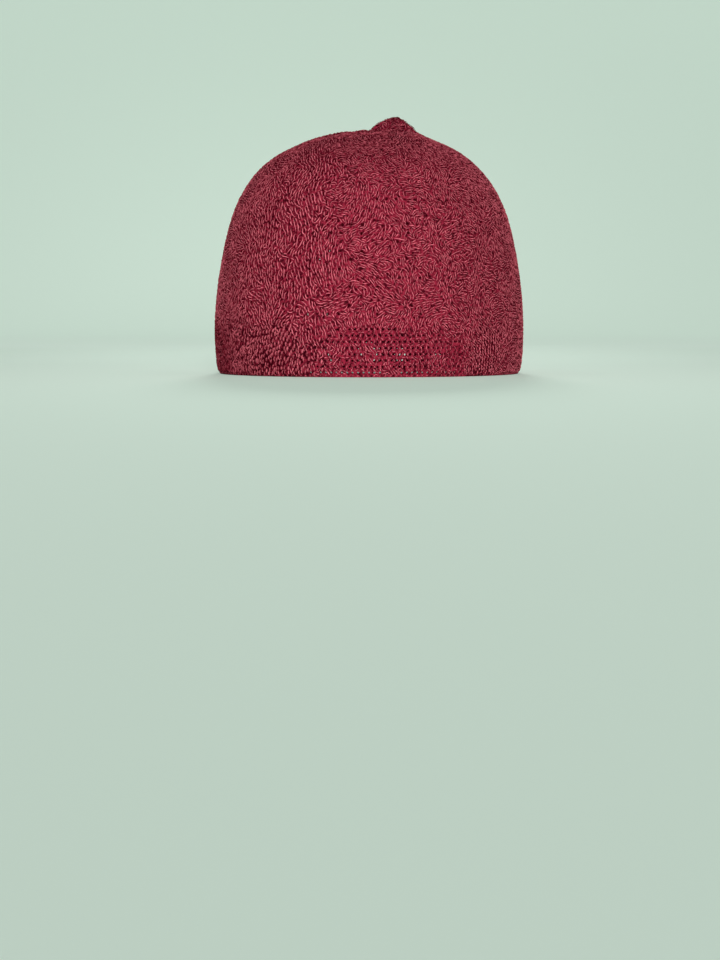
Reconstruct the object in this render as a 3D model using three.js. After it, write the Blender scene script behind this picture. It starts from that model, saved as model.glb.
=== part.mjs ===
// A knitted prayer cap: a domed crown drawn together at the top in a small gathered
// tip, and a band of open rows below it that ends in the rim. Millimetres, +Z up.
// The underside of the rim is at z = 0 and the front of the cap faces -Y.
import * as THREE from "three";

// Driving dimensions
const WALL = 2; // thickness of the knitted wall
const BAND_HEIGHT = 25; // from the rim to the band's top edge
const TIP_FOOT_HEIGHT = 121.4; // where the gathered tip starts to rise out of the dome
const SEAM_GAP = 0.3; // clearance between the band's top edge and the crown
const FACETS_ROUND = 72; // facets in one turn round the cap
const BAND_STEPS = 2; // rings for each section of the band
const CROWN_STEPS = 2; // rings for each section of the crown
const GATHERS = 9; // soft folds that run into the tip
const TIP_FILL = 9.2; // depth of the bunched knit below the tip

// Wool yarn
const YARN_COLOUR = 0x8a2c3b;
const YARN_ROUGHNESS = 0.95;

// Level sections of the outside, from the rim up to the tip. Each is an oval with its
// own centre, because the tip stands to the right of the middle, and gather is how far
// the folds stand out of it.
const SECTIONS = [
  { height: 0, halfWidth: 76.4, halfLength: 91.0, centreX: 0, centreY: 0, gather: 0 },
  { height: 4, halfWidth: 77.5, halfLength: 92.3, centreX: 0, centreY: 0, gather: 0 },
  { height: 12.5, halfWidth: 78.3, halfLength: 93.2, centreX: 0, centreY: 0, gather: 0 },
  { height: BAND_HEIGHT, halfWidth: 78.6, halfLength: 93.5, centreX: 0, centreY: 0, gather: 0 },
  { height: 44, halfWidth: 77.2, halfLength: 91.8, centreX: 0.1, centreY: 0, gather: 0 },
  { height: 60, halfWidth: 74.7, halfLength: 88.8, centreX: 0.2, centreY: 0, gather: 0 },
  { height: 74, halfWidth: 71.6, halfLength: 85.0, centreX: 0.3, centreY: 0, gather: 0 },
  { height: 85.5, halfWidth: 67.7, halfLength: 80.2, centreX: 0.3, centreY: 0, gather: 0 },
  { height: 95.2, halfWidth: 62.5, halfLength: 73.8, centreX: 0.3, centreY: 0, gather: 0 },
  { height: 103, halfWidth: 56.4, halfLength: 66.4, centreX: 0.3, centreY: 0, gather: 0 },
  { height: 109.8, halfWidth: 48.4, halfLength: 56.8, centreX: 0.7, centreY: 0, gather: 0 },
  { height: 115.2, halfWidth: 38.6, halfLength: 45.0, centreX: 1.3, centreY: 0, gather: 0.1 },
  { height: 118.8, halfWidth: 29.6, halfLength: 34.0, centreX: 1.8, centreY: 0.6, gather: 0.3 },
  { height: TIP_FOOT_HEIGHT, halfWidth: 20.6, halfLength: 23.2, centreX: 4.8, centreY: 2, gather: 0.7 },
  { height: 122.8, halfWidth: 11.6, halfLength: 12.4, centreX: 10.8, centreY: 4, gather: 0.9 },
  { height: 126.4, halfWidth: 6.8, halfLength: 7.0, centreX: 12.2, centreY: 4.2, gather: 0.8 },
  { height: 128.6, halfWidth: 3.9, halfLength: 4.0, centreX: 13, centreY: 4.2, gather: 0.5 },
  { height: 130, halfWidth: 1.5, halfLength: 1.5, centreX: 13.7, centreY: 4.2, gather: 0.2 },
  { height: 130.4, halfWidth: 0, halfLength: 0, centreX: 13.9, centreY: 4.2, gather: 0 },
];
const SEAM_ROW = SECTIONS.findIndex((section) => section.height === BAND_HEIGHT);
const TIP_FOOT_ROW = SECTIONS.findIndex((section) => section.height === TIP_FOOT_HEIGHT);
const TIP_ROW = SECTIONS.length - 1;

// Smooth curves through the sections: their size and height, and their place and gathers
const sizeCurve = new THREE.CatmullRomCurve3(
  SECTIONS.map(({ halfWidth, halfLength, height }) => new THREE.Vector3(halfWidth, halfLength, height)),
);
const placeCurve = new THREE.CatmullRomCurve3(
  SECTIONS.map(({ centreX, centreY, gather }) => new THREE.Vector3(centreX, centreY, gather)),
);

// One ring of points round the cap. row counts sections and may lie between two of them,
// depth is how far the ring lies inside the wall's outer face, and a level ring is set
// straight in, so that the wall's edges are flat.
function ring(row, { depth = 0, level = false, lift = 0 } = {}) {
  const share = row / TIP_ROW;
  const size = sizeCurve.getPoint(share);
  const place = placeCurve.getPoint(share);
  const slope = sizeCurve.getTangent(share);
  const outward = level ? new THREE.Vector2(1, 0) : new THREE.Vector2(slope.z, -slope.x).normalize();
  const points = [];
  for (let facet = 0; facet < FACETS_ROUND; facet++) {
    const angle = (2 * Math.PI * facet) / FACETS_ROUND;
    const fold = depth > 0 ? 0 : place.z * Math.cos(GATHERS * angle);
    const stand = fold - depth;
    points.push(
      new THREE.Vector3(
        place.x + (size.x + stand * outward.x) * Math.cos(angle),
        place.y + (size.y + stand * outward.x) * Math.sin(angle),
        size.z + stand * outward.y + lift,
      ),
    );
  }
  return points;
}

// Rows from one section to another, with steps rings for each section passed
function rowsBetween(first, last, steps) {
  const count = Math.abs(last - first) * steps;
  return Array.from({ length: count + 1 }, (_, step) => first + ((last - first) * step) / count);
}

// A closed skin over rings that follow each other down the outside and up the inside. A
// ring of one point is a pole, and a skin with no poles joins its last ring to its first.
function skin(rings) {
  const starts = [];
  const positions = [];
  for (const points of rings) {
    starts.push(positions.length / 3);
    for (const point of points) positions.push(point.x, point.y, point.z);
  }
  const hasPoles = rings[0].length === 1;
  const spans = hasPoles ? rings.length - 1 : rings.length;
  const triangles = [];
  for (let upper = 0; upper < spans; upper++) {
    const lower = (upper + 1) % rings.length;
    const at = (which, facet) => starts[which] + (facet % rings[which].length);
    for (let facet = 0; facet < FACETS_ROUND; facet++) {
      if (rings[lower].length > 1) {
        triangles.push(at(upper, facet), at(lower, facet), at(lower, facet + 1));
      }
      if (rings[upper].length > 1) {
        triangles.push(at(upper, facet), at(lower, facet + 1), at(upper, facet + 1));
      }
    }
  }
  const geometry = new THREE.BufferGeometry();
  geometry.setAttribute("position", new THREE.Float32BufferAttribute(positions, 3));
  geometry.setIndex(triangles);
  geometry.computeVertexNormals();
  return geometry;
}

function knitted(name, geometry) {
  const finish = { color: YARN_COLOUR, roughness: YARN_ROUGHNESS, metalness: 0 };
  const mesh = new THREE.Mesh(geometry, new THREE.MeshStandardMaterial(finish));
  mesh.name = name;
  return mesh;
}

// The band: an upright wall with a flat rim below and a flat edge under the crown
function band() {
  const outside = rowsBetween(SEAM_ROW, 0, BAND_STEPS).map((row) => ring(row));
  const inside = rowsBetween(0, SEAM_ROW, BAND_STEPS).map((row) => ring(row, { depth: WALL, level: true }));
  return skin([...outside, ...inside]);
}

// The crown: the dome and its gathered tip in one piece, open below, with the knit
// bunched solid under the tip
function crown() {
  const tip = SECTIONS[TIP_ROW];
  const foot = SECTIONS[TIP_FOOT_ROW];
  const outerPole = [new THREE.Vector3(tip.centreX, tip.centreY, tip.height)];
  const innerPole = [new THREE.Vector3(foot.centreX, foot.centreY, tip.height - TIP_FILL)];
  const outside = rowsBetween(TIP_ROW, SEAM_ROW, CROWN_STEPS)
    .slice(1, -1)
    .map((row) => ring(row));
  const inside = rowsBetween(SEAM_ROW, TIP_FOOT_ROW, CROWN_STEPS)
    .slice(1)
    .map((row) => ring(row, { depth: WALL }));
  const edge = [0, WALL].map((depth) => ring(SEAM_ROW, { depth, level: true, lift: SEAM_GAP }));
  return skin([outerPole, ...outside, ...edge, ...inside, innerPole]);
}

const cap = new THREE.Group();
cap.add(knitted("crown", crown()), knitted("band", band()));

export default cap;
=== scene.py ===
import math

import bpy
import mathutils
import numpy
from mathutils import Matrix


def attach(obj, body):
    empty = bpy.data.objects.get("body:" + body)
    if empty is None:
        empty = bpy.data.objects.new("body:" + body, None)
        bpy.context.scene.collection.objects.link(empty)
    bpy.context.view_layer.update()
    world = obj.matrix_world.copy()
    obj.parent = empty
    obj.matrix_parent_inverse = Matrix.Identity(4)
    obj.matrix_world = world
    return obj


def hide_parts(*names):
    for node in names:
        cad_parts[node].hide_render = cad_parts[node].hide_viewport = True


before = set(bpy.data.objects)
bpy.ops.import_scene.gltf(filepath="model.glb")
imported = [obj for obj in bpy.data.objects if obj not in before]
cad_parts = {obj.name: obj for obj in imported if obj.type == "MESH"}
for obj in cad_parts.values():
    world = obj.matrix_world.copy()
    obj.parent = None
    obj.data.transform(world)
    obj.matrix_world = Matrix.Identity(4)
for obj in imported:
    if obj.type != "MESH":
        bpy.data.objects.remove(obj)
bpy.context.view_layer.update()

# Band web
# The back of the band's knit: loops of wool that lie close together, worked in the round from
# the rim upwards. At the front and the back an eyelet is left open at every second wale,
# staggered from row to row.
MM = 0.001
SECTION_COLUMNS = ("half_width", "half_length", "height", "centre_x", "centre_y", "gather")
# Sizes of the outside in mm, a row for each section from the rim to the tip
SECTIONS = (
    (76.4, 91.0, 0.0, 0.0, 0.0, 0.0),
    (77.5, 92.3, 4.0, 0.0, 0.0, 0.0),
    (78.3, 93.2, 12.5, 0.0, 0.0, 0.0),
    (78.6, 93.5, 25.0, 0.0, 0.0, 0.0),
    (77.2, 91.8, 44.0, 0.1, 0.0, 0.0),
    (74.7, 88.8, 60.0, 0.2, 0.0, 0.0),
    (71.6, 85.0, 74.0, 0.3, 0.0, 0.0),
    (67.7, 80.2, 85.5, 0.3, 0.0, 0.0),
    (62.5, 73.8, 95.2, 0.3, 0.0, 0.0),
    (56.4, 66.4, 103.0, 0.3, 0.0, 0.0),
    (48.4, 56.8, 109.8, 0.7, 0.0, 0.0),
    (38.6, 45.0, 115.2, 1.3, 0.0, 0.1),
    (29.6, 34.0, 118.8, 1.8, 0.6, 0.3),
    (20.6, 23.2, 121.4, 4.8, 2.0, 0.7),
    (11.7, 12.2, 123.0, 11.6, 4.0, 0.9),
    (10.1, 10.3, 124.8, 11.8, 4.1, 0.9),
    (7.3, 7.5, 127.0, 12.1, 4.2, 0.8),
    (4.2, 4.3, 129.2, 12.8, 4.2, 0.5),
    (1.7, 1.7, 130.4, 13.4, 4.2, 0.2),
    (0.0, 0.0, 130.8, 13.6, 4.2, 0.0),
)
SECTION_STEPS = 40
RIM_SAMPLES = 1441
LEAST_RADIUS = 0.05 * MM
LEAST_GIRTH = 1.0 * MM
GATHERS = 9
BAND_HEIGHT = 25.0 * MM
WALES = 402


def smooth_through(points, steps):
    """A smooth curve through the sections, with steps samples from each to the next."""
    run = numpy.vstack((2 * points[0] - points[1], points, 2 * points[-1] - points[-2]))
    share = numpy.linspace(0, 1, steps, endpoint=False)[:, None]
    spans = []
    for before, start, end, after in zip(run, run[1:], run[2:], run[3:]):
        pairs = ((before, start), (start, end), (end, after))
        gaps = [numpy.linalg.norm((second - first)[:3]) ** 0.5 for first, second in pairs]
        into, across, out = gaps
        leave = (start - before) / into - (end - before) / (into + across) + (end - start) / across
        arrive = (end - start) / across - (after - start) / (across + out) + (after - end) / out
        spans.append(
            (1 + share * share * (2 * share - 3)) * start
            + share * share * (3 - 2 * share) * end
            + share * (1 - share) ** 2 * across * leave
            - share * share * (1 - share) * across * arrive
        )
    return numpy.vstack((*spans, points[-1:]))


outline = smooth_through(numpy.array(SECTIONS) * MM, SECTION_STEPS)
mean_radius = outline[:, :2].mean(axis=1)
outline_steps = numpy.hypot(numpy.diff(mean_radius), numpy.diff(outline[:, 2]))
outline_runs = numpy.concatenate(([0.0], numpy.cumsum(outline_steps)))
outline_slopes = numpy.gradient(outline, outline_runs, axis=0)
TIP_RUN = outline_runs[-1]
rim_angles = numpy.linspace(-math.pi / 2, math.pi * 3 / 2, RIM_SAMPLES)
rim_steps = numpy.hypot(
    numpy.diff(SECTIONS[0][0] * numpy.cos(rim_angles)),
    numpy.diff(SECTIONS[0][1] * numpy.sin(rim_angles)),
)
rim_turns = numpy.concatenate(([0.0], numpy.cumsum(rim_steps))) / rim_steps.sum()


def section_at(run):
    """The section's sizes, and how fast each changes, at each run up the wall from the rim."""
    sizes = [numpy.interp(run, outline_runs, column) for column in outline.T]
    slopes = [numpy.interp(run, outline_runs, column) for column in outline_slopes.T]
    return dict(zip(SECTION_COLUMNS, sizes)), dict(zip(SECTION_COLUMNS, slopes))


def girth_at(run):
    """The length of once round the cap at each run up the wall."""
    size = section_at(run)[0]
    wide, long = size["half_width"], size["half_length"]
    girth = math.pi * (3 * (wide + long) - numpy.sqrt((3 * wide + long) * (wide + 3 * long)))
    return numpy.maximum(girth, LEAST_GIRTH)


def knit_face(turn, run, sink):
    """Points sunk below the outside of the knit, and the outward normals there.

    turn goes once round from 0 to 1, from the middle of the front towards +X, and run is the
    way up the wall from the rim.
    """
    turn, run, sink = numpy.broadcast_arrays(turn, run, sink)
    size, slope = section_at(run)
    angle = numpy.interp(turn % 1, rim_turns, rim_angles)
    cosine, sine = numpy.cos(angle), numpy.sin(angle)
    wide = numpy.maximum(size["half_width"], LEAST_RADIUS)
    long = numpy.maximum(size["half_length"], LEAST_RADIUS)
    along = numpy.stack((-wide * sine, long * cosine, numpy.zeros_like(sine)), axis=-1)
    up = numpy.stack(
        (
            slope["centre_x"] + slope["half_width"] * cosine,
            slope["centre_y"] + slope["half_length"] * sine,
            slope["height"],
        ),
        axis=-1,
    )
    normal = numpy.cross(along, up)
    normal /= numpy.linalg.norm(normal, axis=-1, keepdims=True)
    fold = size["gather"] * numpy.cos(GATHERS * angle)
    point = numpy.stack(
        (size["centre_x"] + wide * cosine, size["centre_y"] + long * sine, size["height"]), axis=-1
    )
    return point + normal * (fold - sink)[..., None], normal


GRAIN_WAVES = 48
WAVE_SPREAD = (0.7, 1.4)
GRAIN_STEP = 0.7 * MM
chance = numpy.random.default_rng(41)
grain_runs = numpy.arange(0, TIP_RUN + GRAIN_STEP, GRAIN_STEP)
grain_turns = numpy.arange(WALES) / WALES
grain_points = knit_face(grain_turns, grain_runs[:, None], 0.0)[0]


def drift(length):
    """Random values about 0 over the cap's face that change over about the given length."""
    ways = chance.normal(size=(3, GRAIN_WAVES))
    pitches = 2 * math.pi / length / numpy.linalg.norm(ways, axis=0)
    ways *= pitches * chance.uniform(*WAVE_SPREAD, GRAIN_WAVES)
    phases = chance.uniform(0, 2 * math.pi, GRAIN_WAVES)
    return numpy.cos(grain_points @ ways + phases).sum(axis=-1) * math.sqrt(2 / GRAIN_WAVES)


def eased(value):
    """0 up to 0, 1 from 1 on, and a smooth rise between."""
    value = numpy.clip(value, 0, 1)
    return value * value * (3 - 2 * value)


SWAY_LENGTH = 40.0 * MM
SWAY_ASIDE = 0.006
SWAY_UP = 0.3
ZONE_EDGE = 0.03
ZONE_TOP_EDGE = 10.0 * MM
zone_sway = drift(SWAY_LENGTH)


def zone(first, last):
    """1 on the part of the band between two turns, fading to 0 round it."""
    turn = (grain_turns + 0.5 - first) % 1 - 0.5 + SWAY_ASIDE * zone_sway
    height = (BAND_HEIGHT - grain_runs[:, None]) / ZONE_TOP_EDGE + 0.5 + SWAY_UP * zone_sway
    begun = eased(turn / ZONE_EDGE + 0.5)
    not_over = eased((last - first - turn) / ZONE_EDGE + 0.5)
    return eased(height) * begun * not_over


# Where each kind of knit lies, in turns from the middle of the front
FRONT_EYELETS = (-0.065, 0.098)
BACK_EYELETS = (0.42, 0.58)
LEFT_BUMPS = (-0.15, -0.065)
RIGHT_COLUMNS = (0.098, 0.148)
# The left end of the band, where painted shade darkens the web and the legs
LEFT_END = (-0.30, -0.155)
UPRIGHT_TURN = -0.10
UPRIGHT_REACH = 0.08
UPRIGHT_EDGE = 1.6
# The top of the crown, where painted shade darkens the web and the legs, and where the upright side
# ends
CROWN_TOP_RUNS = (98.0 * MM, 128.0 * MM)
# Eyelets that the knitter missed, and a short stretch that was closed up
MISSED_LENGTH = 14.0 * MM
MISSED_LEVEL = 1.2
CLOSED_TURN = -0.002
CLOSED_REACH = 0.005
CLOSED_RUNS = (7.0 * MM, 17.0 * MM)
left_bumps = zone(*LEFT_BUMPS)
right_columns = zone(*RIGHT_COLUMNS)
left_end = zone(*LEFT_END)
eyelets = zone(*FRONT_EYELETS) + zone(*BACK_EYELETS)
eyelets *= drift(MISSED_LENGTH) < MISSED_LEVEL
closed_runs = (grain_runs > CLOSED_RUNS[0]) & (grain_runs < CLOSED_RUNS[1])
closed_turns = numpy.abs((grain_turns + 0.5) % 1 - 0.5 - CLOSED_TURN) < CLOSED_REACH
eyelets[closed_runs[:, None] & closed_turns] = 0
from_upright = numpy.abs((grain_turns - UPRIGHT_TURN + 0.5) % 1 - 0.5)
crown_top = eased((grain_runs[:, None] - CROWN_TOP_RUNS[0]) / (CROWN_TOP_RUNS[1] - CROWN_TOP_RUNS[0]))
upright_side = eased(UPRIGHT_EDGE * (1 - from_upright / UPRIGHT_REACH)) * (1 - crown_top)

WEB_THICKNESS = 1.0 * MM
WEB_WELD = 0.001 * MM
WEB_SMOOTH = math.radians(40)


def wrapped_web(name, turn, run, sink, opened, shade):
    """A thin wall of knit: a flat grid with the opened cells cut out, wrapped round the cap.

    turn and run hold the place of each of the grid's corners, by column and line. shade says
    how much lighter or darker the knit is painted at each place of the grain's grid, mostly
    painted shade. The wall grows inwards.
    """
    columns, lines = opened.shape
    bpy.ops.object.select_all(action="DESELECT")
    bpy.ops.mesh.primitive_grid_add(x_subdivisions=columns, y_subdivisions=lines, size=1)
    web = bpy.context.active_object
    web.name = name
    middles = numpy.empty(len(web.data.polygons) * 3)
    web.data.polygons.foreach_get("center", middles)
    cells = numpy.floor((middles.reshape(-1, 3)[:, :2] + 0.5) * (columns, lines)).astype(int)
    bpy.ops.object.mode_set(mode="EDIT")
    bpy.ops.mesh.select_mode(type="FACE")
    bpy.ops.mesh.select_all(action="DESELECT")
    bpy.ops.object.mode_set(mode="OBJECT")
    web.data.polygons.foreach_set("select", opened[cells[:, 0], cells[:, 1]])
    bpy.ops.object.mode_set(mode="EDIT")
    bpy.ops.mesh.delete(type="FACE")
    bpy.ops.object.mode_set(mode="OBJECT")
    corners = numpy.empty(len(web.data.vertices) * 3)
    web.data.vertices.foreach_get("co", corners)
    corners = numpy.rint((corners.reshape(-1, 3)[:, :2] + 0.5) * (columns, lines)).astype(int)
    places = (corners[:, 0], corners[:, 1])
    wrapped = knit_face(turn[places], run[places], sink)[0]
    web.data.vertices.foreach_set("co", wrapped.ravel())
    steps = numpy.minimum(run[places] / GRAIN_STEP, len(grain_runs) - 1).astype(int)
    wales = (turn[places] % 1 * WALES).astype(int) % WALES
    tone_and_painted_light = web.data.attributes.new("tone_and_painted_light", "FLOAT", "POINT")
    tone_and_painted_light.data.foreach_set("value", shade[steps, wales])
    bpy.ops.object.mode_set(mode="EDIT")
    bpy.ops.mesh.select_all(action="SELECT")
    bpy.ops.mesh.remove_doubles(threshold=WEB_WELD)
    bpy.ops.object.mode_set(mode="OBJECT")
    wall = web.modifiers.new("wall", "SOLIDIFY")
    wall.thickness = WEB_THICKNESS
    wall.offset = -1
    bpy.ops.object.modifier_apply(modifier=wall.name)
    bpy.ops.object.shade_smooth_by_angle(angle=WEB_SMOOTH)
    return web


class Value:
    """A socket of a material's nodes that takes part in plain arithmetic."""

    def __init__(self, tree, socket=None):
        self.tree = tree
        self.socket = socket

    def node(self, kind, settings, inputs, output=0):
        """Adds a node, sets it up, fills or links its sockets, and gives one of its outputs."""
        made = self.tree.nodes.new(kind)
        for name, setting in settings.items():
            setattr(made, name, setting)
        for name, given in inputs.items():
            if isinstance(given, Value):
                self.tree.links.new(given.socket, made.inputs[name])
            else:
                made.inputs[name].default_value = given
        return Value(self.tree, made.outputs[output])

    def maths(self, operation, first, second=0.0):
        return self.node("ShaderNodeMath", {"operation": operation}, {0: first, 1: second})

    def __add__(self, other):
        return self.maths("ADD", self, other)

    __radd__ = __add__

    def __sub__(self, other):
        return self.maths("SUBTRACT", self, other)

    def __rsub__(self, other):
        return self.maths("SUBTRACT", other, self)

    def __mul__(self, other):
        return self.maths("MULTIPLY", self, other)

    __rmul__ = __mul__

    def mixed(self, low, high):
        """Goes from the colour low to the colour high as this value goes from 0 to 1.

        A Mix node has sockets of each kind under the same names, so its colours go by number.
        """
        colours = {0: self, 6: low, 7: high}
        return self.node("ShaderNodeMix", {"data_type": "RGBA"}, colours, output=2)


CLOUD_NOISE = {"Scale": 120.0, "Detail": 3.0, "Roughness": 0.6}
FIBRE_NOISE = {"Scale": 2600.0, "Detail": 2.0, "Roughness": 0.7}
SPECK_NOISE = {"Scale": 850.0, "Detail": 1.0, "Roughness": 0.5}
NOISE_MIDDLE = 0.5
CLOUD_WEIGHT = 0.25
FIBRE_WEIGHT = 0.5
HAIR_STRENGTH = 0.5
HAIR_HEIGHT = 0.15 * MM
WOOL_ROUGHNESS = 0.72


def wool(name, shaded, lit, level, mottle):
    """Wool yarn: a deep colour for painted shade in its hollows and shaded stretches, a lighter
    one for a painted highlight on its crests, and hairy fibres.

    level is added to the tone_and_painted_light attribute of the mesh, and mottle is how much
    specks vary it.
    """
    material = bpy.data.materials.new(name)
    material.use_nodes = True
    tree = material.node_tree
    shader = tree.nodes["Principled BSDF"]
    start = Value(tree)
    place = start.node("ShaderNodeTexCoord", {}, {}, output="Object")
    tone_and_painted_light = start.node("ShaderNodeAttribute", {"attribute_name": "tone_and_painted_light"}, {}, output="Fac")
    clouds, fibres, specks = [
        start.node("ShaderNodeTexNoise", {}, {"Vector": place, **noise})
        for noise in (CLOUD_NOISE, FIBRE_NOISE, SPECK_NOISE)
    ]
    uneven = (
        (clouds - NOISE_MIDDLE) * CLOUD_WEIGHT
        + (fibres - NOISE_MIDDLE) * FIBRE_WEIGHT
        + (specks - NOISE_MIDDLE) * mottle
    )
    tone = start.maths("MINIMUM", start.maths("MAXIMUM", tone_and_painted_light + uneven + level, 0.0), 1.0)
    colour = tone.mixed(shaded, lit)
    relief = {"Strength": HAIR_STRENGTH, "Distance": HAIR_HEIGHT, "Height": fibres}
    hairs = start.node("ShaderNodeBump", {}, relief)
    tree.links.new(colour.socket, shader.inputs["Base Color"])
    tree.links.new(hairs.socket, shader.inputs["Normal"])
    shader.inputs["Roughness"].default_value = WOOL_ROUGHNESS
    shader.inputs["Specular IOR Level"].default_value = 0.0
    return material


EYELET_ROWS = 8
EYELET_ROW = 3.0 * MM
EYELET_RADIUS = 0.6 * MM
EYELET_PITCH = 4
FIRST_EYELETS = 2.25 * MM
WEB_LINE = EYELET_ROW / 4
BAND_WEB_SINK = 0.28 * MM
# The grid has two columns for each wale. An eyelet opens the four cells round a corner, and
# EYELET_PITCH counts columns
HALF_WALES = 2 * WALES
band_columns = numpy.arange(HALF_WALES + 1)
band_lines = numpy.arange(0, BAND_HEIGHT, WEB_LINE)
band_turn, band_run = numpy.meshgrid(
    band_columns / HALF_WALES, numpy.append(band_lines, BAND_HEIGHT), indexing="ij"
)
band_open = numpy.full((HALF_WALES, len(band_lines)), False)
holes = []
column_width = girth_at(0.0) / HALF_WALES
for row in range(EYELET_ROWS):
    line = round((FIRST_EYELETS + row * EYELET_ROW) / WEB_LINE)
    first = EYELET_PITCH // 2 if row % 2 else EYELET_PITCH
    centres = numpy.arange(first, HALF_WALES + EYELET_PITCH // 2, EYELET_PITCH)
    weight = eyelets[round(line * WEB_LINE / GRAIN_STEP), centres // 2 % WALES]
    centres = centres[chance.random(len(centres)) < weight]
    holes.extend((centre / HALF_WALES, line * WEB_LINE) for centre in centres.tolist())
    for aside in (-1, 0, 1):
        for above in (-1, 0, 1):
            reach = math.hypot(aside * column_width, above * WEB_LINE)
            draw = EYELET_RADIUS / reach - 1 if reach else 0
            corner = (centres + aside) % HALF_WALES
            band_turn[corner, line + above] += draw * aside / HALF_WALES
            band_run[corner, line + above] += draw * above * WEB_LINE
            if aside < 1 and above < 1:
                band_open[corner, line + above] = True
band_turn[-1] = band_turn[0] + 1
band_run[-1] = band_run[0]

EYELET_SHADE = 0.08
# Painted shade on the web between the bumps and between the columns of beads, in their grooves
BUMP_SHADE = -0.30
COLUMN_SHADE = -0.32
# Painted shade on the web at the band's left end
LEFT_END_SHADE = -0.50
# Painted shade on the web between the coarser upright legs
UPRIGHT_SHADE = -0.05
# Painted shade on the web at the top of the crown
CROWN_TOP_SHADE = -0.15
# The web's colours for painted shade and for where it is lit
WEB_SHADED = (0.03, 0.001, 0.0035, 1.0)
WEB_LIT = (0.215, 0.014, 0.031, 1.0)
WEB_LEVEL = 0.53
WEB_MOTTLE = 3.2
# How much lighter or darker the web is painted at each place: lighter round the eyelets, painted
# shade elsewhere
web_shade = (
    EYELET_SHADE * eyelets
    + BUMP_SHADE * left_bumps
    + COLUMN_SHADE * right_columns
    + LEFT_END_SHADE * left_end
    + UPRIGHT_SHADE * upright_side
    + CROWN_TOP_SHADE * crown_top
)
band_web = wrapped_web("band_web", band_turn, band_run, BAND_WEB_SINK, band_open, web_shade)
web_wool = wool("web_wool", WEB_SHADED, WEB_LIT, WEB_LEVEL, WEB_MOTTLE)
band_web.data.materials.append(web_wool)
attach(band_web, "root")
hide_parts("band")

# Crown web
# The back of the crown's knit, of the same wool. It is worked in the round on from the band
# and drawn together at the top. Low down on its front and back some loops are stretched open.
CROWN_WEB_SINK = 0.32 * MM
CROWN_COLUMNS = 201
CROWN_LINES = 70
STRETCHED_LINES = slice(2, 30, 2)
STRETCHED_FACING = 0.75
STRETCHED_SHARE = 0.3
STRETCHED_SIZE = 0.5
crown_turn, crown_run = numpy.meshgrid(
    numpy.linspace(0, 1, CROWN_COLUMNS + 1),
    numpy.linspace(BAND_HEIGHT, TIP_RUN, CROWN_LINES + 1),
    indexing="ij",
)
crown_open = numpy.full((CROWN_COLUMNS, CROWN_LINES), False)
facing = numpy.abs(numpy.cos(2 * math.pi * crown_turn[:-1, :-1])) > STRETCHED_FACING
drawn = facing & (chance.random(crown_open.shape) < STRETCHED_SHARE)
crown_open[1:-1:2, STRETCHED_LINES] = drawn[1:-1:2, STRETCHED_LINES]
open_columns, open_lines = numpy.nonzero(crown_open)
open_middles = []
for places in (crown_turn, crown_run):
    middle = (places[open_columns, open_lines] + places[open_columns + 1, open_lines + 1]) / 2
    for aside in (0, 1):
        for above in (0, 1):
            corner = (open_columns + aside, open_lines + above)
            places[corner] = middle + STRETCHED_SIZE * (places[corner] - middle)
    open_middles.append(middle.tolist())
holes.extend(zip(*open_middles))
crown_web = wrapped_web("crown_web", crown_turn, crown_run, CROWN_WEB_SINK, crown_open, web_shade)
crown_web.data.materials.append(web_wool)
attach(crown_web, "root")
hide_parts("crown")

# Band stitches
# The legs of the stitches, short lengths of wool yarn that stand out on the band's face and go
# into the knit at both ends. They lie side by side along the knit's grain, and leave the
# eyelets open. The crown's legs are laid in the same go, since the knit runs on.
GRAIN_LENGTH = 22.0 * MM
KINK_LENGTH = 5.0 * MM
GRAIN_SWING = 0.9
GRAIN_SLANT = -0.35
UPRIGHT_ALL = 0.2
UPRIGHT_BAND = (-0.17, -0.05)
UPRIGHT_ON_BAND = 0.9
UPRIGHT_ON_SIDE = 1.4


def swing():
    """Random turns of the grain, in long sweeps and short kinks."""
    return GRAIN_SWING * drift(GRAIN_LENGTH) + GRAIN_SWING * drift(KINK_LENGTH)


# A leg has no head or tail, so the grain's angle is half that of the swings
upright = UPRIGHT_ALL + UPRIGHT_ON_BAND * zone(*UPRIGHT_BAND) + UPRIGHT_ON_SIDE * upright_side
slanted = swing() + GRAIN_SLANT
grain_table = (0.5 * numpy.arctan2(slanted, swing() + upright)).tolist()
girth_table = girth_at(grain_runs).tolist()

LEG_GAP = 1.05 * MM
LEG_END_GAP = 0.66 * MM
UPRIGHT_GAP = 0.42
ROOM_CELL = (1 + UPRIGHT_GAP) * LEG_GAP
LEAST_CELLS = 3
LOWEST_LEG = 1.3 * MM
HIGHEST_LEG = TIP_RUN - 1.5 * MM
gap_table = (LEG_GAP * (1 + UPRIGHT_GAP * upright_side)).tolist()
room_lines = range(int(TIP_RUN / ROOM_CELL) + 2)
cells_in_line = [
    max(LEAST_CELLS, int(girth_at(line * ROOM_CELL) / ROOM_CELL)) for line in room_lines
]
taken = {}


def grain_at(turn, run):
    """The way the knit's grain leans from upright at a place."""
    return grain_table[int(run / GRAIN_STEP)][int(turn % 1 * WALES)]


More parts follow.
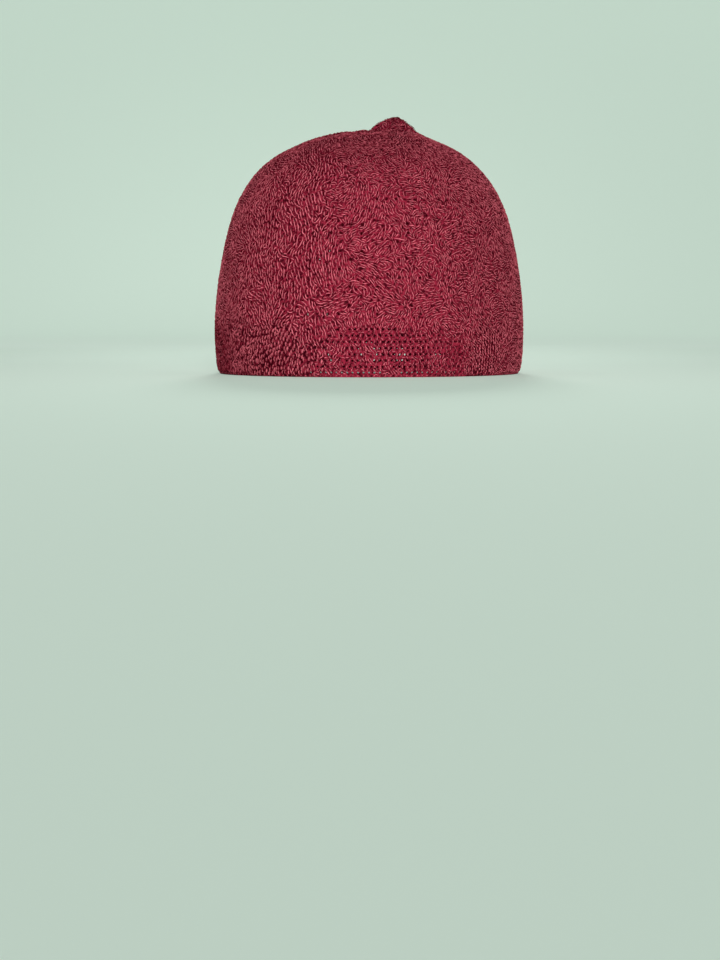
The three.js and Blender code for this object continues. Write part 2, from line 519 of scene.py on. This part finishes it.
def has_room(turn, run, share=1.0):
    """Whether a place is on the cap's face, and a share of the gaps or more from all laid."""
    if not LOWEST_LEG < run < HIGHEST_LEG:
        return False
    girth = girth_table[int(run / GRAIN_STEP)]
    line = int(run / ROOM_CELL)
    for near in (line - 1, line, line + 1):
        if near < 0:
            continue
        cells = cells_in_line[near]
        cell = int(turn % 1 * cells)
        for beside in (cell - 1, cell, cell + 1):
            spots = taken.get((near, beside % cells), ())
            for other_turn, other_run, sine, cosine, gap, end_gap in spots:
                aside = ((turn - other_turn + 0.5) % 1 - 0.5) * girth
                above = run - other_run
                across = (aside * cosine - above * sine) / gap
                along = (aside * sine + above * cosine) / end_gap
                if across * across + along * along < share * share:
                    return False
    return True


def take(turn, run, heading, gap, end_gap):
    """Marks a place as taken, with the gaps that others leave beside it and beyond it."""
    line = int(run / ROOM_CELL)
    spot = (turn, run, math.sin(heading), math.cos(heading), gap, end_gap)
    taken.setdefault((line, int(turn % 1 * cells_in_line[line])), []).append(spot)


HOLE_GAP = 1.02 * MM
LEG_WIDE = 0.265 * MM
LEG_LEVEL = 0.74
TIP_LEGS = 7
TIP_DROPS = (0.4 * MM, 1.5 * MM, 2.6 * MM, 3.7 * MM)
legs, leg_wide, leg_level, beads = [], [], [], []
for hole_turn, hole_run in holes:
    take(hole_turn, hole_run, 0.0, HOLE_GAP, HOLE_GAP)
for number in range(TIP_LEGS):
    path = [(number / TIP_LEGS, TIP_RUN - drop) for drop in TIP_DROPS]
    legs.append(path)
    leg_wide.append(LEG_WIDE)
    leg_level.append(LEG_LEVEL)
    for place in path:
        take(*place, 0.0, LEG_GAP, LEG_END_GAP)


def lay(turn, run, lean, length, wide, level):
    """Lays one straight leg with its middle at a place."""
    path = []
    for share in (-0.5, 0.0, 0.5):
        aside = share * length * math.sin(lean) / girth_table[int(run / GRAIN_STEP)]
        path.append((turn + aside, run + share * length * math.cos(lean)))
    legs.append(path)
    leg_wide.append(wide)
    leg_level.append(level)
    beads.extend((*place, lean) for place in path)


BEAD_REACH = 1.5 * BAND_HEIGHT
BEAD_FOOT = 0.6
BEAD_JITTER = 0.12
BEAD_LEAN_SPREAD = 0.15


def laid_beads(weight, pitch, row, stagger, lean, length, wide, level):
    """Short thick legs in columns, as many of them as the weight at each place asks for."""
    count = round(girth_at(BAND_HEIGHT) / pitch)
    for line in range(int(BEAD_REACH / row)):
        for column in range(count):
            turn = (column + stagger * (line % 2) + chance.normal(0, BEAD_JITTER)) / count
            run = LOWEST_LEG + BEAD_FOOT * length + line * row + chance.normal(0, BEAD_JITTER) * row
            place = (int(run / GRAIN_STEP), int(turn % 1 * WALES))
            swayed = run + row * zone_sway[place]
            if chance.random() < weight[place] and has_room(turn, swayed):
                leaning = lean + chance.normal(0, BEAD_LEAN_SPREAD)
                lay(turn, swayed, leaning, length, wide, level)


# level is how light each kind of bead's top is painted; the bumps' low level is painted shade of the
# deeper knit
BUMPS = {
    "pitch": 2.2 * MM,
    "row": 2.5 * MM,
    "stagger": 0.5,
    "lean": 0.18,
    "length": 1.5 * MM,
    "wide": 0.68 * MM,
    "level": 0.43,
}
COLUMN_BEADS = {
    "pitch": 2.2 * MM,
    "row": 1.5 * MM,
    "stagger": 0.0,
    "lean": -0.15,
    "length": 0.5 * MM,
    "wide": 0.58 * MM,
    "level": 0.62,
}
laid_beads(left_bumps, **BUMPS)
laid_beads(right_columns, **COLUMN_BEADS)

# One leg stands beside each eyelet and one lies above it: lengths in mm from least to most,
# leans as their mean and spread, and how far aside in wales
EYELET_LEG = 0.34 * MM
EYELET_LEVEL = 0.52
BESIDE_LOWEST = LOWEST_LEG + 1.2 * MM
BESIDE_LENGTHS = (0.6, 1.2)
BESIDE_LEAN = (-0.1, 0.3)
ABOVE_ASIDE = 0.6
ABOVE_LENGTHS = (0.4, 1.0)
ABOVE_LEAN = (0.0, 0.9)
for hole_turn, hole_run in holes:
    if hole_run > BAND_HEIGHT:
        continue
    if hole_run > BESIDE_LOWEST:
        length = chance.uniform(*BESIDE_LENGTHS) * MM
        lean = chance.normal(*BESIDE_LEAN)
        lay(hole_turn + 1 / WALES, hole_run, lean, length, EYELET_LEG, EYELET_LEVEL)
    aside = chance.uniform(-ABOVE_ASIDE, ABOVE_ASIDE) / WALES
    length = chance.uniform(*ABOVE_LENGTHS) * MM
    lean = chance.normal(*ABOVE_LEAN)
    lay(hole_turn + aside, hole_run + EYELET_ROW / 2, lean, length, EYELET_LEG, EYELET_LEVEL)
for bead_turn, bead_run, lean in beads:
    take(bead_turn, bead_run, lean, LEG_GAP, LEG_END_GAP)

LEG_STEP = 0.66 * MM
LEG_STEPS = (1, 8)
LEG_KINK = 0.42
GROWING_GAP = 0.74


def grown_leg(turn, run, steps):
    """The places of one leg, grown both ways along the grain for as long as there is room."""
    halves = []
    for start in (0, math.pi):
        half = []
        heading = grain_at(turn, run) + start
        on_turn, on_run = turn, run
        for step in range(steps):
            on_turn += math.sin(heading) * LEG_STEP / girth_table[int(on_run / GRAIN_STEP)]
            on_run += math.cos(heading) * LEG_STEP
            if not has_room(on_turn, on_run, GROWING_GAP):
                break
            half.append((on_turn, on_run))
            heading += (grain_at(on_turn, on_run) - heading + math.pi / 2) % math.pi - math.pi / 2
            heading += chance.normal(0, LEG_KINK)
        halves.append(half)
    return halves[1][::-1] + [(turn, run)] + halves[0]


LEAST_POINTS = 2
FIRST_SEEDS = 12000
BESIDE_SEED = 1.03
area_share = numpy.cumsum(girth_at(grain_runs))
seed_runs = numpy.interp(chance.random(FIRST_SEEDS), area_share / area_share[-1], grain_runs)
seeds = list(zip(chance.random(FIRST_SEEDS).tolist(), seed_runs.tolist()))
# Each leg that is laid adds seeds on both sides of it, and they are tried in their turn
for seed_turn, seed_run in seeds:
    if not has_room(seed_turn, seed_run):
        continue
    path = grown_leg(seed_turn, seed_run, int(chance.integers(*LEG_STEPS)))
    if len(path) < LEAST_POINTS:
        continue
    gap = gap_table[int(seed_run / GRAIN_STEP)][int(seed_turn % 1 * WALES)]
    legs.append(path)
    leg_wide.append(LEG_WIDE * gap / LEG_GAP)
    leg_level.append(LEG_LEVEL)
    for turn, run in path:
        heading = grain_at(turn, run)
        take(turn, run, heading, gap, LEG_END_GAP)
        for side in (-BESIDE_SEED * gap, BESIDE_SEED * gap):
            aside = side * math.cos(heading) / girth_table[int(run / GRAIN_STEP)]
            seeds.append((turn + aside, run - side * math.sin(heading)))

LEG_ROWS = 5
LEG_TAIL = 0.50 * MM


def evened(path):
    """A leg's places at even steps, with a tail added at both ends that goes into the knit."""
    places = numpy.array(path)
    girth = girth_at(places[:, 1].mean())
    steps = numpy.hypot(numpy.diff(places[:, 0]) * girth, numpy.diff(places[:, 1]))
    for end, inner in ((0, 1), (-1, -2)):
        tail = (places[end] - places[inner]) * LEG_TAIL / steps[end]
        places[end] = places[end] + tail
    way = numpy.concatenate(([0.0], numpy.cumsum(steps)))
    even = numpy.linspace(0, way[-1], LEG_ROWS)
    return numpy.stack([numpy.interp(even, way, column) for column in places.T])


YARN_SINK = 0.02 * MM
YARN_DEEP = 0.34 * MM
LEG_DIP = 0.58 * MM
ARCH_POWER = 0.4
LIFT_SPREAD = 0.05 * MM
NUB_RUN = TIP_RUN - 22.0 * MM
NUB_FADE = 8.0 * MM
NUB_FLATTER = 0.5
SIZE_SPREAD = (0.8, 1.2)
TONE_SPREAD = 0.08
# Legs that stand out further are painted lighter, a painted highlight
LIFT_HIGHLIGHT = 1.0
# A painted highlight on the coarser upright legs
UPRIGHT_LEG_HIGHLIGHT = 0.08
# Painted shade on the legs at the top of the crown
CROWN_TOP_LEG_SHADE = -0.17
# Painted shade on the legs at the band's left end
LEFT_END_LEG_SHADE = -0.50
# Share of the painted light left at the legs' ends: painted shade where they go into the knit
END_LIGHT_SHARE = 0.5
END_THICKNESS = 0.4
leg_turn, leg_run = numpy.stack([evened(path) for path in legs], axis=-1)
leg_arch = numpy.sin(numpy.linspace(0, math.pi, LEG_ROWS))[:, None] ** ARCH_POWER
leg_lift = chance.normal(0, LIFT_SPREAD, len(legs))
leg_relief = 1 - NUB_FLATTER * eased((leg_run - NUB_RUN) / NUB_FADE)
leg_sink = YARN_SINK + leg_relief * ((1 - leg_arch) * LEG_DIP - leg_lift)
leg_points, leg_normals = knit_face(leg_turn, leg_run, leg_sink)
leg_size = numpy.array(leg_wide) * chance.uniform(*SIZE_SPREAD, len(legs))
leg_tone_and_light = numpy.array(leg_level) + chance.normal(0, TONE_SPREAD, len(legs))
leg_tone_and_light += LIFT_HIGHLIGHT * leg_lift / MM
leg_steps = (leg_run.mean(axis=0) / GRAIN_STEP).astype(int)
leg_wales = (leg_turn.mean(axis=0) % 1 * WALES).astype(int)
# The painted highlight and shade that each leg takes from its place
placed_light_and_shade = UPRIGHT_LEG_HIGHLIGHT * upright_side + CROWN_TOP_LEG_SHADE * crown_top + LEFT_END_LEG_SHADE * left_end
leg_tone_and_light += placed_light_and_shade[leg_steps, leg_wales]
# Each leg's tone along it, with painted shade towards both ends
leg_painted_tone = (END_LIGHT_SHARE + (1 - END_LIGHT_SHARE) * leg_arch) * leg_tone_and_light
leg_thick = END_THICKNESS + (1 - END_THICKNESS) * leg_arch
leg_deep = YARN_DEEP * leg_relief * leg_thick

# The corners round a yarn, from one side over its top to the other, and how light each is
# painted: a painted highlight along the top and painted shade down the sides
YARN_AROUND = numpy.radians((-25.0, 32.5, 90.0, 147.5, 205.0))
YARN_PAINTED_LIGHT = numpy.array((0.0, 0.06, 1.0, 0.06, 0.0))


def yarn_rings(points, normals, wide, deep):
    """The corners round each step of some yarns: a row for each step, a column for each yarn."""
    along = numpy.gradient(points, axis=0)
    along /= numpy.linalg.norm(along, axis=-1, keepdims=True)
    across = numpy.cross(along, normals)
    across /= numpy.linalg.norm(across, axis=-1, keepdims=True)
    outward = numpy.cross(across, along)
    aside = numpy.cos(YARN_AROUND)[:, None] * (across * wide[..., None])[:, :, None]
    above = numpy.sin(YARN_AROUND)[:, None] * (outward * deep[..., None])[:, :, None]
    return points[:, :, None] + aside + above


def yarn_tubes(name, rings, tone_and_painted_light):
    """Joins the steps of some yarns into one mesh of closed tubes."""
    sides = len(YARN_AROUND)
    rows, yarns = tone_and_painted_light.shape
    number = numpy.arange(rows * yarns).reshape(rows, yarns, 1) * sides
    here = numpy.arange(sides)
    there = (here + 1) % sides
    low, high = number[:-1], number[1:]
    walls = numpy.stack((low + here, high + here, high + there, low + there), axis=-1).reshape(-1, 4)
    starts = number[0] + here
    ends = number[-1] + here[::-1]
    mesh = bpy.data.meshes.new(name)
    mesh.from_pydata(rings.reshape(-1, 3), [], [*walls.tolist(), *starts.tolist(), *ends.tolist()])
    mesh.polygons.foreach_set("use_smooth", numpy.arange(len(mesh.polygons)) < len(walls))
    # Each corner's tone, with a painted highlight on the yarn's top and painted shade on its sides
    shown = mesh.attributes.new("tone_and_painted_light", "FLOAT", "POINT")
    shown.data.foreach_set("value", (tone_and_painted_light[:, :, None] * YARN_PAINTED_LIGHT).ravel())
    yarn = bpy.data.objects.new(name, mesh)
    bpy.context.scene.collection.objects.link(yarn)
    return yarn


# The yarn's colours for painted shade on its sides and ends, and for the painted highlight on its
# top
YARN_SHADED = (0.08, 0.0025, 0.008, 1.0)
YARN_LIT = (0.76, 0.165, 0.215, 1.0)
YARN_LEVEL = 0.0
YARN_MOTTLE = 0.8
yarn_wool = wool("yarn_wool", YARN_SHADED, YARN_LIT, YARN_LEVEL, YARN_MOTTLE)
leg_rings = yarn_rings(leg_points, leg_normals, leg_size * leg_thick, leg_deep)
in_band = leg_run.mean(axis=0) < BAND_HEIGHT
band_stitches = yarn_tubes("band_stitches", leg_rings[:, in_band], leg_painted_tone[:, in_band])
band_stitches.data.materials.append(yarn_wool)
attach(band_stitches, "root")

# Crown stitches
# The legs of the stitches on the crown's face, of the same wool yarn. They lie every way, more
# upright on the left, and close up round the tip, where the last ones are drawn together.
CROWN_SIDES = ("front_right", "back_right", "back_left", "front_left")
leg_side = (leg_turn.mean(axis=0) % 1 * len(CROWN_SIDES)).astype(int)
for place, side in enumerate(CROWN_SIDES):
    some = ~in_band & (leg_side == place)
    crown_stitches = yarn_tubes("crown_stitches_" + side, leg_rings[:, some], leg_painted_tone[:, some])
    crown_stitches.data.materials.append(yarn_wool)
    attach(crown_stitches, "root")

# Rim edge
# The cast-on edge: one wool yarn that winds over the lower edge of the band, a turn for each
# pair of wales, and keeps it from running. A small step shows where its round was joined.
RIM_TURNS = WALES // 2
RIM_STEPS = 9
RIM_YARN = 0.5 * MM
RIM_SINK = 1.0 * MM
RIM_OUT = 0.72 * MM
RIM_UP = 0.5 * MM
# The rim yarn's painted highlight on its top, weaker than on the legs
RIM_HIGHLIGHT = 0.4
NOTCH_TURN = 0.099
NOTCH_REACH = 0.008
NOTCH_RISE = 0.7 * MM
rim_count = RIM_TURNS * RIM_STEPS
rim_turn = numpy.arange(rim_count + 1) / rim_count
rim_wind = 2 * math.pi * RIM_TURNS * rim_turn
rim_points, rim_normals = knit_face(rim_turn, 0.0, RIM_SINK - RIM_OUT * numpy.cos(rim_wind))
rim_points[:, 2] = RIM_YARN + RIM_UP * (1 + numpy.sin(rim_wind))
notch = (rim_turn - NOTCH_TURN) / NOTCH_REACH
rim_points[:, 2] += NOTCH_RISE * eased(1 + notch) * (notch < 0)
rim_normals = numpy.cos(rim_wind)[:, None] * rim_normals
rim_normals[:, 2] = numpy.sin(rim_wind)
rim_size = numpy.full((rim_count + 1, 1), RIM_YARN)
rim_rings = yarn_rings(rim_points[:, None], rim_normals[:, None], rim_size, rim_size)
rim_edge = yarn_tubes("rim_edge", rim_rings, numpy.full_like(rim_size, RIM_HIGHLIGHT))
rim_edge.data.materials.append(yarn_wool)
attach(rim_edge, "root")

# Studio floor
# A pale matt floor that curves up into a wall all round, so that no horizon shows. The paint
# glows a little, more towards the wall and behind the cap, where less light falls.
FLOOR_CORNERS = 96
FLOOR_RADIUS = 2.4
FLOOR_WELD = 1.0 * MM
COVE_RADIUS = 1.2
COVE_STEPS = 12
WALL_TOP = 1.6
FLOOR_COLOUR = (0.5525, 0.663, 0.585, 1.0)
FLOOR_ROUGHNESS = 0.95
NO_GLOW = (0.0, 0.0, 0.0, 1.0)
WALL_GLOW = (0.341, 0.404, 0.363, 1.0)
FLOOR_GLOW = 0.6
GLOW_REACH = (1.2, 2.4)
BEHIND_GLOW = 0.4
BEHIND_REACH = (0.2, 1.1)
bpy.ops.object.select_all(action="DESELECT")
bpy.ops.mesh.primitive_circle_add(vertices=FLOOR_CORNERS, radius=FLOOR_RADIUS, fill_type="NOTHING")
studio = bpy.context.active_object
studio.name = "studio"
bpy.ops.object.mode_set(mode="EDIT")
bpy.ops.mesh.select_mode(type="EDGE")
bpy.ops.mesh.select_all(action="SELECT")
reach, level = FLOOR_RADIUS, 0.0
for step in range(1, COVE_STEPS + 2):
    bend = min(step, COVE_STEPS) * math.pi / 2 / COVE_STEPS
    next_reach = FLOOR_RADIUS + COVE_RADIUS * math.sin(bend)
    next_level = COVE_RADIUS * (1 - math.cos(bend)) if step <= COVE_STEPS else WALL_TOP
    bpy.ops.mesh.extrude_region_move(TRANSFORM_OT_translate={"value": (0, 0, next_level - level)})
    widen = next_reach / reach
    bpy.ops.transform.resize(value=(widen, widen, 1), center_override=(0, 0, 0))
    reach, level = next_reach, next_level
bpy.ops.object.mode_set(mode="OBJECT")
bpy.ops.mesh.primitive_circle_add(vertices=FLOOR_CORNERS, radius=FLOOR_RADIUS, fill_type="NGON")
studio.select_set(True)
bpy.context.view_layer.objects.active = studio
bpy.ops.object.join()
bpy.ops.object.mode_set(mode="EDIT")
bpy.ops.mesh.select_all(action="SELECT")
bpy.ops.mesh.remove_doubles(threshold=FLOOR_WELD)
bpy.ops.mesh.normals_make_consistent(inside=True)
bpy.ops.object.mode_set(mode="OBJECT")
bpy.ops.object.shade_smooth()


def glow_share(measure, reach, low, high):
    """Goes from low to high as a measure of the floor goes over its reach."""
    near, far = reach
    bounds = {"From Min": near, "From Max": far, "To Min": low, "To Max": high}
    return measure.node("ShaderNodeMapRange", {}, {"Value": measure, **bounds})


paint = bpy.data.materials.new("studio_paint")
paint.use_nodes = True
painted = paint.node_tree.nodes["Principled BSDF"]
start = Value(paint.node_tree)
spot = start.node("ShaderNodeTexCoord", {}, {}, output="Object")
away = start.node("ShaderNodeVectorMath", {"operation": "LENGTH"}, {0: spot}, output="Value")
depth = start.node("ShaderNodeSeparateXYZ", {}, {"Vector": spot}, output="Y")
towards_wall = glow_share(away, GLOW_REACH, FLOOR_GLOW, 1.0)
behind = glow_share(depth, BEHIND_REACH, 0.0, BEHIND_GLOW)
glow = (towards_wall + behind).mixed(NO_GLOW, WALL_GLOW)
paint.node_tree.links.new(glow.socket, painted.inputs["Emission Color"])
painted.inputs["Emission Strength"].default_value = 1.0
painted.inputs["Base Color"].default_value = FLOOR_COLOUR
painted.inputs["Roughness"].default_value = FLOOR_ROUGHNESS
painted.inputs["Specular IOR Level"].default_value = 0.0
studio.data.materials.append(paint)

# Studio light
# A round soft light from the front, a little to the right and above, a weaker one from behind,
# and a pale sky that fills the shadows.
LIGHTS = (
    ("key", (0.09, -2.4, 0.40), 0.6, 1.37, 18),
    ("back", (0.0, 2.4, 0.9), 0.6, 1.0, 20),
)
AIM = (0.0, 0.0, 0.06)
SKY_COLOUR = (1.0, 0.99, 0.97, 1.0)
SKY_STRENGTH = 0.22
for name, place, size, power, spread in LIGHTS:
    lamp = bpy.data.lights.new(name, "AREA")
    lamp.shape = "DISK"
    lamp.size = size
    lamp.energy = power
    lamp.spread = math.radians(spread)
    holder = bpy.data.objects.new(name, lamp)
    holder.location = place
    holder.rotation_mode = "QUATERNION"
    holder.rotation_quaternion = (holder.location - mathutils.Vector(AIM)).to_track_quat("Z", "Y")
    holder.visible_camera = False
    bpy.context.scene.collection.objects.link(holder)
sky = bpy.data.worlds.new("sky")
sky.use_nodes = True
sky.node_tree.nodes["Background"].inputs["Color"].default_value = SKY_COLOUR
sky.node_tree.nodes["Background"].inputs["Strength"].default_value = SKY_STRENGTH
bpy.context.scene.world = sky
bpy.context.scene.view_settings.view_transform = "Standard"

# Camera
# It looks at the front of the cap from just above the floor, as near the photograph's angle as
# the floor allows. Places in the picture are in pixels.
PHOTO_HEIGHT = 960
PHOTO_MIDDLE = (360, 480)
CAP_MIDDLE_X = 369
RIM_Y = 373
MM_PER_PIXEL = 0.513
CAMERA_DISTANCE = 1.3
CAMERA_HEIGHT = 0.03
focal = CAMERA_DISTANCE / (MM_PER_PIXEL * MM)
eye_level = RIM_Y - CAMERA_HEIGHT / (MM_PER_PIXEL * MM)
camera = bpy.data.cameras.new("camera")
camera.lens = camera.sensor_width * focal / PHOTO_HEIGHT
viewer = bpy.data.objects.new("camera", camera)
viewer.location = (0, -CAMERA_DISTANCE, CAMERA_HEIGHT)
viewer.rotation_euler = (
    math.pi / 2 - math.atan((PHOTO_MIDDLE[1] - eye_level) / focal),
    0,
    math.atan((CAP_MIDDLE_X - PHOTO_MIDDLE[0]) / focal),
)
bpy.context.scene.collection.objects.link(viewer)
bpy.context.scene.camera = viewer
